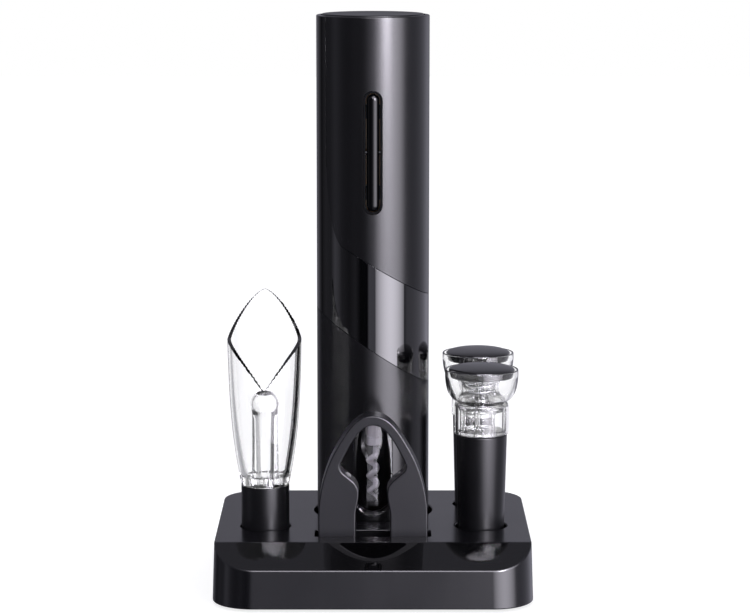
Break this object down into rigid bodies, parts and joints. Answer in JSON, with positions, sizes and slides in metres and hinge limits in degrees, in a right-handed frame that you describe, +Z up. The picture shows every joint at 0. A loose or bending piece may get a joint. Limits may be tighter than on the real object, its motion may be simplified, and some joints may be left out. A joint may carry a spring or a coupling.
{
  "type": "electric wine opener",
  "caption": "Cordless electric corkscrew standing in a sloped tray with a foil cutter, an aerating pourer and vacuum stoppers",
  "frame": {"origin": "centre of the outline's base, on the surface that the feet stand on", "axes": "+Z up, +Y to the rear of the stand, +X to the right as seen from the front"},
  "size_m": [0.1326, 0.1156, 0.2395],
  "materials": {
    "stand_plastic": "polished black moulding",
    "satin_black": "satin black lacquer",
    "gloss_black": "mirror-polished black",
    "black_plastic": "fine matte black moulding",
    "matte_grey": "matte dark grey moulding",
    "smoked": "smoked clear plastic",
    "clear": "clear moulded acrylic",
    "black_rubber": "smooth black silicone rubber",
    "steel": "polished steel",
    "zinc": "zinc plated",
    "brass": "machined brass",
    "nylon": "natural nylon",
    "circuit": "green circuit board",
    "cell_wrap": "shrink wrap"
  },
  "bodies": {
    "stand": {"stand_shell": "stand_plastic", "stand_bottom_plate": "black_plastic", "foot_front_left": "black_rubber", "foot_front_right": "black_rubber", "foot_rear_left": "black_rubber", "foot_rear_right": "black_rubber", "stand_screw_front_left": "zinc", "stand_screw_front_right": "zinc", "stand_screw_rear_left": "zinc", "stand_screw_rear_right": "zinc"},
    "opener": {"upper_cover": "satin_black", "gloss_sleeve": "gloss_black", "lower_cover": "satin_black", "top_cap": "black_plastic", "smoked_window": "smoked", "bottle_guide": "black_plastic", "chassis_front": "black_plastic", "chassis_rear": "black_plastic", "chassis_screw_lower": "zinc", "chassis_screw_upper": "zinc", "button_bezel": "gloss_black", "switch_board": "circuit", "switch_up": "black_plastic", "switch_down": "black_plastic", "battery_cell": "cell_wrap", "charge_socket": "steel", "motor": "steel", "gearbox_ring": "nylon", "shaft_bush": "brass"},
    "rocker": {"rocker_button": "gloss_black"},
    "drive_pinion": {"motor_pinion": "brass"},
    "worm_drive": {"planet_carrier": "zinc", "worm_chuck": "steel", "worm": "steel"},
    "planet_1": {"planet_gear_1": "nylon"},
    "planet_2": {"planet_gear_2": "nylon"},
    "planet_3": {"planet_gear_3": "nylon"},
    "foil_cutter": {"cutter_front_half": "matte_grey", "cutter_rear_half": "matte_grey"},
    "wheel_upper_left": {"cutter_wheel_upper_left": "steel"},
    "wheel_upper_right": {"cutter_wheel_upper_right": "steel"},
    "wheel_lower_left": {"cutter_wheel_lower_left": "steel"},
    "wheel_lower_right": {"cutter_wheel_lower_right": "steel"},
    "pourer": {"pourer_collar": "black_plastic", "pourer_seal": "black_rubber", "pourer_tulip": "clear", "pourer_air_tube": "clear"},
    "stopper_front": {"stopper_front_plug": "black_rubber", "stopper_front_head": "clear", "stopper_front_valve": "black_rubber", "stopper_front_spring": "steel"},
    "pump_front": {"stopper_front_pump_cap": "gloss_black", "stopper_front_piston": "clear"},
    "stopper_rear": {"stopper_rear_plug": "black_rubber", "stopper_rear_head": "clear", "stopper_rear_valve": "black_rubber", "stopper_rear_spring": "steel"},
    "pump_rear": {"stopper_rear_pump_cap": "gloss_black", "stopper_rear_piston": "clear"}
  },
  "joints": [
    {"name": "opener_lift", "type": "slide", "parent": "stand", "child": "opener", "axis": [0, 0, 1], "range_m": [0, 0.04]},
    {"name": "rocker_tilt", "type": "hinge", "parent": "opener", "child": "rocker", "pos_m": [0, -0.0012, 0.1825], "axis": [1, 0, 0], "range_deg": [-1.5, 1.5], "stiffness_Nm_per_rad": 1.2},
    {"name": "worm_spin", "type": "hinge", "parent": "opener", "child": "worm_drive", "pos_m": [0, 0.02, 0.06], "axis": [0, 0, 1], "continuous": true},
    {"name": "pinion_spin", "type": "hinge", "parent": "opener", "child": "drive_pinion", "pos_m": [0, 0.02, 0.088], "axis": [0, 0, 1], "continuous": true},
    {"name": "planet_1_spin", "type": "hinge", "parent": "worm_drive", "child": "planet_1", "pos_m": [0.01013, 0.02, 0.088], "axis": [0, 0, 1], "continuous": true},
    {"name": "planet_2_spin", "type": "hinge", "parent": "worm_drive", "child": "planet_2", "pos_m": [-0.00506, 0.02877, 0.088], "axis": [0, 0, 1], "continuous": true},
    {"name": "planet_3_spin", "type": "hinge", "parent": "worm_drive", "child": "planet_3", "pos_m": [-0.00506, 0.01123, 0.088], "axis": [0, 0, 1], "continuous": true},
    {"name": "foil_cutter_lift", "type": "slide", "parent": "stand", "child": "foil_cutter", "axis": [0, 0, 1], "range_m": [0, 0.03]},
    {"name": "wheel_upper_left_spin", "type": "hinge", "parent": "foil_cutter", "child": "wheel_upper_left", "pos_m": [-0.00822, -0.0263, 0.06803], "axis": [0, 1, 0], "continuous": true},
    {"name": "wheel_upper_right_spin", "type": "hinge", "parent": "foil_cutter", "child": "wheel_upper_right", "pos_m": [0.00822, -0.0263, 0.06803], "axis": [0, 1, 0], "continuous": true},
    {"name": "wheel_lower_left_spin", "type": "hinge", "parent": "foil_cutter", "child": "wheel_lower_left", "pos_m": [-0.01098, -0.0263, 0.04969], "axis": [0, 1, 0], "continuous": true},
    {"name": "wheel_lower_right_spin", "type": "hinge", "parent": "foil_cutter", "child": "wheel_lower_right", "pos_m": [0.01098, -0.0263, 0.04969], "axis": [0, 1, 0], "continuous": true},
    {"name": "pourer_lift", "type": "slide", "parent": "stand", "child": "pourer", "axis": [0, 0, 1], "range_m": [0, 0.04]},
    {"name": "stopper_front_lift", "type": "slide", "parent": "stand", "child": "stopper_front", "axis": [0, 0, 1], "range_m": [0, 0.04]},
    {"name": "pump_front_stroke", "type": "slide", "parent": "stopper_front", "child": "pump_front", "axis": [0, 0, -1], "range_m": [0, 0.0035], "stiffness_N_per_m": 400, "springref_m": -0.001, "deforming": ["stopper_front_spring"]},
    {"name": "stopper_rear_lift", "type": "slide", "parent": "stand", "child": "stopper_rear", "axis": [0, 0, 1], "range_m": [0, 0.04]},
    {"name": "pump_rear_stroke", "type": "slide", "parent": "stopper_rear", "child": "pump_rear", "axis": [0, 0, -1], "range_m": [0, 0.0035], "stiffness_N_per_m": 400, "springref_m": -0.001, "deforming": ["stopper_rear_spring"]}
  ],
  "couplings": [
    {"joint": "pinion_spin", "follows": "worm_spin", "ratio": 4.5},
    {"joint": "planet_1_spin", "follows": "worm_spin", "ratio": -2.8},
    {"joint": "planet_2_spin", "follows": "worm_spin", "ratio": -2.8},
    {"joint": "planet_3_spin", "follows": "worm_spin", "ratio": -2.8}
  ]
}
